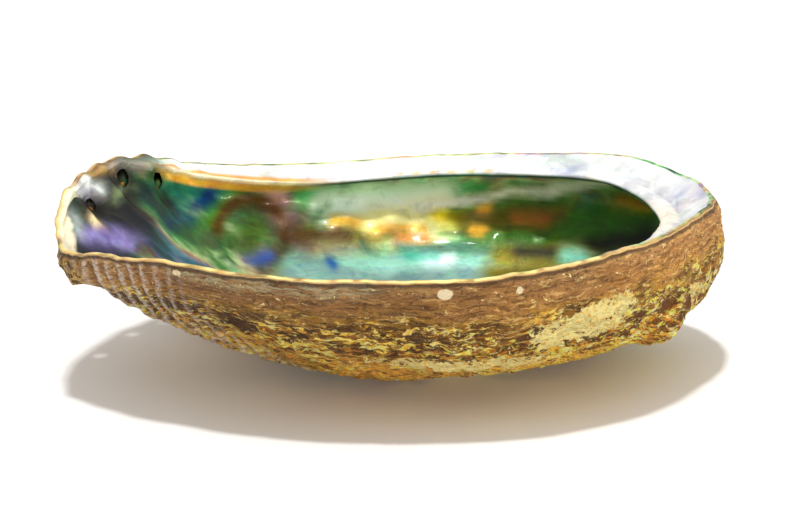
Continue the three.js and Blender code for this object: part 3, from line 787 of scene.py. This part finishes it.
shell = bpy.data.objects.new("shell_visual", mesh)
bpy.context.scene.collection.objects.link(shell)


# ---------------------------------------------------------------- node helpers
def tone(r, g, b):
    """A display colour as the linear one that a shader wants."""
    out = [((v / 255 + 0.055) / 1.055) ** 2.4 if v > 10 else v / 255 / 12.92 for v in (r, g, b)]
    return (*out, 1.0)


class Graph:
    def __init__(self, name):
        self.material = bpy.data.materials.new(name)
        self.material.use_nodes = True
        self.tree = self.material.node_tree
        self.tree.nodes.clear()

    def node(self, kind_name, **settings):
        n = self.tree.nodes.new(kind_name)
        for key, value in settings.items():
            setattr(n, key, value)
        return n

    def feed(self, socket, value):
        if isinstance(value, bpy.types.NodeSocket):
            self.tree.links.new(value, socket)
        elif value is not None:
            socket.default_value = value

    def number(self, name):
        return self.node("ShaderNodeAttribute", attribute_name=name).outputs["Fac"]

    def math(self, operation, a, b=None, c=None, clamp=False):
        n = self.node("ShaderNodeMath", operation=operation, use_clamp=clamp)
        for socket, value in zip(n.inputs, (a, b, c)):
            self.feed(socket, value)
        return n.outputs[0]

    def scaled(self, vector, scale):
        n = self.node("ShaderNodeVectorMath", operation="MULTIPLY")
        self.feed(n.inputs[0], vector)
        self.feed(n.inputs[1], scale)
        return n.outputs[0]

    def added(self, vector, other):
        n = self.node("ShaderNodeVectorMath", operation="ADD")
        self.feed(n.inputs[0], vector)
        self.feed(n.inputs[1], other)
        return n.outputs[0]

    def noise(self, vector, grain, detail=3.0, rough=0.55, colour=False, twist=0.0):
        """Noise with that grain in mm."""
        n = self.node("ShaderNodeTexNoise")
        self.feed(n.inputs["Vector"], vector)
        self.feed(n.inputs["Scale"], 1.0 / grain)
        self.feed(n.inputs["Detail"], detail)
        self.feed(n.inputs["Roughness"], rough)
        self.feed(n.inputs["Distortion"], twist)
        return n.outputs["Color" if colour else "Fac"]

    def fit(self, value, low, high, out_low=0.0, out_high=1.0):
        n = self.node("ShaderNodeMapRange", interpolation_type="SMOOTHSTEP")
        for socket, v in zip(n.inputs, (value, low, high, out_low, out_high)):
            self.feed(socket, v)
        return n.outputs[0]

    def ramp(self, value, stops):
        n = self.node("ShaderNodeValToRGB")
        self.feed(n.inputs[0], value)
        points_now = n.color_ramp.elements
        while len(points_now) < len(stops):
            points_now.new(0.5)
        for element, (where, colour) in zip(points_now, stops):
            element.position = where
            element.color = tone(*colour)
        return n.outputs["Color"]

    def mix(self, amount, a, b, blend="MIX"):
        n = self.node("ShaderNodeMix", data_type="RGBA", blend_type=blend)
        self.feed(n.inputs[0], amount)
        self.feed(n.inputs[6], a if isinstance(a, bpy.types.NodeSocket) else tone(*a))
        self.feed(n.inputs[7], b if isinstance(b, bpy.types.NodeSocket) else tone(*b))
        return n.outputs[2]

    def bump(self, heights, distance, strength=1.0):
        n = self.node("ShaderNodeBump")
        self.feed(n.inputs["Height"], heights)
        self.feed(n.inputs["Distance"], distance)
        self.feed(n.inputs["Strength"], strength)
        return n.outputs["Normal"]

    def colour_of(self, name):
        return self.node("ShaderNodeAttribute", attribute_name=name).outputs["Color"]

    def place(self):
        """Position in mm, the same in every pose."""
        return self.scaled(self.node("ShaderNodeTexCoord").outputs["Object"], (1000, 1000, 1000))

    def finish(self, **sockets):
        shader = self.node("ShaderNodeBsdfPrincipled")
        for name, value in sockets.items():
            self.feed(shader.inputs[name.replace("_", " ")], value)
        out = self.node("ShaderNodeOutputMaterial")
        self.tree.links.new(shader.outputs[0], out.inputs[0])
        return self.material


# ---------------------------------------------------------------- crusted outside
crusted = Graph("shell_crust")
P = crusted.place()
down = crusted.number("down")
split = crusted.node("ShaderNodeSeparateXYZ")
crusted.feed(split.inputs[0], P)
layered = crusted.node("ShaderNodeCombineXYZ")       # across the shell, and down the wall from the rim
crusted.feed(layered.inputs[0], split.outputs[0])
crusted.feed(layered.inputs[1], split.outputs[1])
crusted.feed(layered.inputs[2], down)
W = crusted.added(layered.outputs[0], crusted.scaled(crusted.noise(P, 5, 2, colour=True), (3.0, 3.0, 3.2)))

stretched = crusted.scaled(P, (0.10, 0.10, 0.22))
drift = crusted.math("MULTIPLY", crusted.math("SUBTRACT", crusted.noise(stretched, 1.0, 5, 0.62), 0.5), 15)
level = crusted.math("DIVIDE", crusted.math("ADD", down, drift), 50)
base_colour = crusted.ramp(level, [
    (0.0, (178, 142, 98)), (0.06, (150, 112, 74)), (0.14, (156, 114, 66)), (0.20, (146, 110, 40)),
    (0.26, (132, 92, 30)), (0.40, (150, 96, 30)), (0.50, (232, 166, 66)), (0.66, (250, 186, 84)),
])
grit = crusted.noise(P, 1.0, 5, 0.7)
lines = crusted.noise(crusted.scaled(W, (0.16, 0.16, 1.15)), 1.0, 5, 0.66)
pale_lines = crusted.noise(crusted.added(crusted.scaled(W, (0.24, 0.24, 1.5)), (5, 3, 8)), 1.0, 5, 0.70)
below_quiet = crusted.fit(level, 0.13, 0.27)
line_on = crusted.math("MULTIPLY", crusted.fit(lines, 0.46, 0.60), crusted.fit(level, 0.10, 0.26, 0.60, 0.90))
colour = crusted.mix(line_on, base_colour, (66, 42, 22))
pale_share = crusted.fit(level, 0.10, 0.30, 0.42, 0.75)
pale_line_on = crusted.math("MULTIPLY", crusted.fit(pale_lines, 0.53, 0.64), pale_share)
colour = crusted.mix(pale_line_on, colour, (236, 204, 146))
colour = crusted.mix(crusted.fit(grit, 0.54, 0.62, 0, 0.55), colour, (52, 34, 18))
speck = crusted.noise(crusted.added(crusted.scaled(W, (0.7, 0.7, 1.3)), (2, 7, 4)), 1.0, 4, 0.7)
colour = crusted.mix(crusted.fit(speck, 0.63, 0.68, 0, 0.9), colour, (255, 236, 190))
# Dark scars with pale yellow flakes between them, in loose clumps.
clump = crusted.math("MULTIPLY", crusted.math("SUBTRACT", crusted.noise(stretched, 0.75, 3, 0.5), 0.5), 0.45)
dark = crusted.noise(crusted.added(crusted.scaled(W, (0.22, 0.22, 0.55)), (3, 8, 1)), 1.0, 6, 0.72)
dark_band = crusted.math("MULTIPLY", crusted.fit(level, 0.18, 0.30), crusted.fit(level, 0.62, 0.46, 0.25, 1))
dark_on = crusted.math("MULTIPLY", crusted.fit(crusted.math("SUBTRACT", dark, clump), 0.46, 0.53), dark_band)
colour = crusted.mix(crusted.math("MULTIPLY", dark_on, 0.90), colour, (60, 36, 12))
fleck = crusted.noise(crusted.scaled(W, (0.34, 0.34, 0.85)), 1.0, 6, 0.74)
fleck_on = crusted.math("MULTIPLY", crusted.fit(crusted.math("ADD", fleck, clump), 0.535, 0.575), below_quiet)
fleck_tone = crusted.ramp(crusted.noise(crusted.added(P, (9, 2, 4)), 1.6, 4, 0.7), [
    (0.38, (226, 158, 50)), (0.45, (252, 200, 84)), (0.52, (255, 228, 128)), (0.62, (255, 246, 200)),
])
colour = crusted.mix(crusted.math("MULTIPLY", fleck_on, 0.95), colour, fleck_tone)
# The ends are painted paler than the middle, the right end most.
warmth = crusted.node("ShaderNodeMix", data_type="VECTOR")
crusted.feed(warmth.inputs[0], crusted.fit(level, 0.12, 0.45))
crusted.feed(warmth.inputs[4], (1.05, 0.95, 0.72))
crusted.feed(warmth.inputs[5], (1.25, 1.12, 0.66))
paler_ends = crusted.node("ShaderNodeMix", data_type="VECTOR")
crusted.feed(paler_ends.inputs[0], crusted.number("paler_ends"))
crusted.feed(paler_ends.inputs[4], (1.0, 1.0, 1.0))
crusted.feed(paler_ends.inputs[5], (2.05, 2.05, 1.90))
colour = crusted.scaled(crusted.scaled(colour, warmth.outputs[1]), paler_ends.outputs[1])
capped = crusted.node("ShaderNodeVectorMath", operation="MINIMUM")
crusted.feed(capped.inputs[0], colour)
crusted.feed(capped.inputs[1], (0.98, 0.90, 0.74))
colour = capped.outputs[0]
ragged = crusted.noise(crusted.added(W, (1, 5, 2)), 2.8, 6, 0.70)
patchy = crusted.math("MULTIPLY", crusted.math("SUBTRACT", ragged, 0.5), 3.4)
cream_on = crusted.fit(crusted.math("ADD", crusted.number("cream"), patchy), 0.50, 0.62)
cream_colour = crusted.mix(crusted.fit(grit, 0.50, 0.62), (255, 240, 160), (246, 190, 74))
colour = crusted.mix(crusted.math("MULTIPLY", cream_on, 0.96), colour, cream_colour)
olive_on = crusted.math("MULTIPLY", crusted.number("lichen"), crusted.fit(pale_lines, 0.42, 0.55))
colour = crusted.mix(crusted.math("MULTIPLY", olive_on, 0.45), colour, (196, 202, 166))
rib_wear = crusted.fit(crusted.noise(P, 0.9, 4, 0.7), 0.40, 0.52)
rib_on = crusted.math("MULTIPLY", crusted.number("ridge"), rib_wear)
colour = crusted.mix(crusted.math("MULTIPLY", rib_on, 0.8), colour, (236, 220, 206))
knob_on = crusted.number("knob")
knob_colour = crusted.ramp(crusted.noise(crusted.added(P, (3, 9, 2)), 2.0, 5, 0.7), [
    (0.38, (52, 38, 20)), (0.46, (120, 88, 44)), (0.52, (222, 182, 104)), (0.60, (160, 128, 96)),
])
colour = crusted.mix(crusted.math("MULTIPLY", knob_on, 1.6, clamp=True), colour, knob_colour)
spot_on = 0.0
# Pale spots just under the near rim: place along the shell, distance below the rim, half width, half height.
PALE_SPOTS = [(10.2, 2.7, 1.65, 1.2), (25.8, 3.2, 0.65, 0.8), (-46.2, 1.9, 0.9, 0.7)]
for at, below, half_wide, half_tall in PALE_SPOTS:
    gap_x = crusted.math("DIVIDE", crusted.math("SUBTRACT", split.outputs[0], at), half_wide)
    gap_down = crusted.math("DIVIDE", crusted.math("SUBTRACT", down, below), half_tall)
    gap = crusted.math("ADD", crusted.math("POWER", gap_x, 2.0), crusted.math("POWER", gap_down, 2.0))
    gap = crusted.math("ADD", gap, crusted.math("MULTIPLY", crusted.math("SUBTRACT", grit, 0.5), 1.2))
    spot_on = crusted.math("MAXIMUM", spot_on, crusted.fit(gap, 1.15, 0.85))
spot_on = crusted.math("MULTIPLY", spot_on, crusted.fit(split.outputs[1], -20, -30))
colour = crusted.mix(spot_on, colour, (250, 232, 190))
# Painted shadow: a dark line just under the cream rim line.
under_lip_shadow = crusted.math("MULTIPLY", crusted.fit(down, 0.15, 0.5), crusted.fit(down, 1.6, 0.8))
colour = crusted.mix(crusted.math("MULTIPLY", under_lip_shadow, 0.8), colour, (66, 42, 24))
colour = crusted.mix(crusted.math("MULTIPLY", crusted.fit(down, 0.42, 0.1), 0.9), colour, (244, 204, 134))
fine_relief = crusted.noise(P, 0.9, 6, 0.72)
heights = crusted.math("ADD", fine_relief, crusted.math("MULTIPLY", lines, -1.3))
heights = crusted.math("ADD", heights, crusted.math("MULTIPLY", fleck_on, 0.30))
heights = crusted.math("SUBTRACT", heights, crusted.math("MULTIPLY", dark_on, 0.30))
normal_out = crusted.bump(heights, 0.0014, 1.0)
crust_material = crusted.finish(
    Base_Color=colour, Roughness=crusted.fit(grit, 0.35, 0.65, 0.42, 0.75), Normal=normal_out,
    Specular_IOR_Level=0.3,
)

# ---------------------------------------------------------------- nacre
nacre = Graph("shell_nacre")
P = nacre.place()
tinted = nacre.colour_of("tint")
streaky = nacre.noise(nacre.scaled(P, (0.07, 0.16, 0.30)), 1.0, 5, 0.62, twist=0.5)
cloudy = nacre.noise(P, 5.0, 4, 0.6, twist=0.5)
colour = nacre.mix(nacre.fit(streaky, 0.42, 0.66, 0, 0.5), tinted, (236, 250, 232), "OVERLAY")
colour = nacre.mix(nacre.fit(cloudy, 0.56, 0.34, 0, 0.30), colour, (120, 140, 146), "MULTIPLY")
rainbow = nacre.ramp(nacre.noise(nacre.scaled(P, (0.14, 0.3, 0.5)), 1.0, 3, 0.6, twist=0.8), [
    (0.30, (70, 160, 150)), (0.40, (120, 210, 130)), (0.48, (255, 236, 150)),
    (0.56, (240, 160, 170)), (0.66, (130, 140, 230)),
])
colour = nacre.mix(0.16, colour, rainbow, "SOFT_LIGHT")
sheen_amount = nacre.fit(nacre.number("shelf"), 0, 1, 0.18, 0.03)
nacre_material = nacre.finish(
    Base_Color=colour, Roughness=nacre.fit(cloudy, 0.3, 0.7, 0.32, 0.46),
    Metallic=sheen_amount, Coat_Weight=0.06,
    Specular_IOR_Level=0.17, Normal=nacre.bump(nacre.noise(P, 1.4, 3), 0.00012, 0.5),
)

mesh.materials.append(crust_material)
mesh.materials.append(nacre_material)
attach(shell, "root")
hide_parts("abalone_shell")

# ---------------------------------------------------------------- floor, light, camera
ground_mesh = bpy.data.meshes.new("ground")
ground_mesh.from_pydata([(-6, -6, 0), (6, -6, 0), (6, 6, 0), (-6, 6, 0)], [], [(0, 1, 2, 3)])
ground = bpy.data.objects.new("ground", ground_mesh)
bpy.context.scene.collection.objects.link(ground)
ground.location.z = -0.0001
paper = Graph("paper")
paper_material = paper.finish(Base_Color=(0.9, 0.9, 0.9, 1), Roughness=1.0, Specular_IOR_Level=0.0)
ground_mesh.materials.append(paper_material)


def lamp(name, size, watts, at, aim, colour=(1, 1, 1)):
    light = bpy.data.lights.new(name, "AREA")
    light.shape, light.size, light.energy, light.color = "DISK", size, watts, colour
    item = bpy.data.objects.new(name, light)
    item.location = at
    item.rotation_euler = (Vector(aim) - Vector(at)).to_track_quat("-Z", "Y").to_euler()
    bpy.context.scene.collection.objects.link(item)


lamp("key", 0.36, 100, (-0.16, -0.28, 4.0), (0, 0, 0.02))
lamp("side", 0.5, 56, (1.4, -2.2, 0.22), (0.03, 0, 0.02), (1.0, 0.95, 0.88))
world = bpy.data.worlds.new("soft_room")
bpy.context.scene.world = world
world.use_nodes = True
world.node_tree.nodes["Background"].inputs[0].default_value = (1.0, 0.95, 0.90, 1)
sky = world.node_tree
upness = sky.nodes.new("ShaderNodeSeparateXYZ")
sky.links.new(sky.nodes.new("ShaderNodeTexCoord").outputs["Generated"], upness.inputs[0])
glow = sky.nodes.new("ShaderNodeMapRange")
sky.links.new(upness.outputs[2], glow.inputs[0])
for socket, value in zip(glow.inputs[1:5], (0.05, 0.75, 0.18, 0.86)):
    socket.default_value = value
sky.links.new(glow.outputs[0], sky.nodes["Background"].inputs[1])
bpy.context.scene.view_settings.view_transform = "Standard"

LOOK_DOWN, DISTANCE = math.radians(15), 0.700
target = Vector((-0.00123, 0.00011, 0.036))
forward = Vector((0, math.cos(LOOK_DOWN), -math.sin(LOOK_DOWN)))
upward = Vector((0, math.sin(LOOK_DOWN), math.cos(LOOK_DOWN)))
camera_data = bpy.data.cameras.new("camera")
camera_data.lens, camera_data.sensor_width, camera_data.sensor_fit = 141.8, 36, "HORIZONTAL"
camera = bpy.data.objects.new("camera", camera_data)
camera.location = target - forward * DISTANCE
aim = target + Vector((0.00157, 0, 0)) - upward * 0.01142
camera.rotation_euler = (aim - camera.location).to_track_quat("-Z", "Y").to_euler()
bpy.context.scene.collection.objects.link(camera)
bpy.context.scene.camera = camera

bpy.context.view_layer.update()
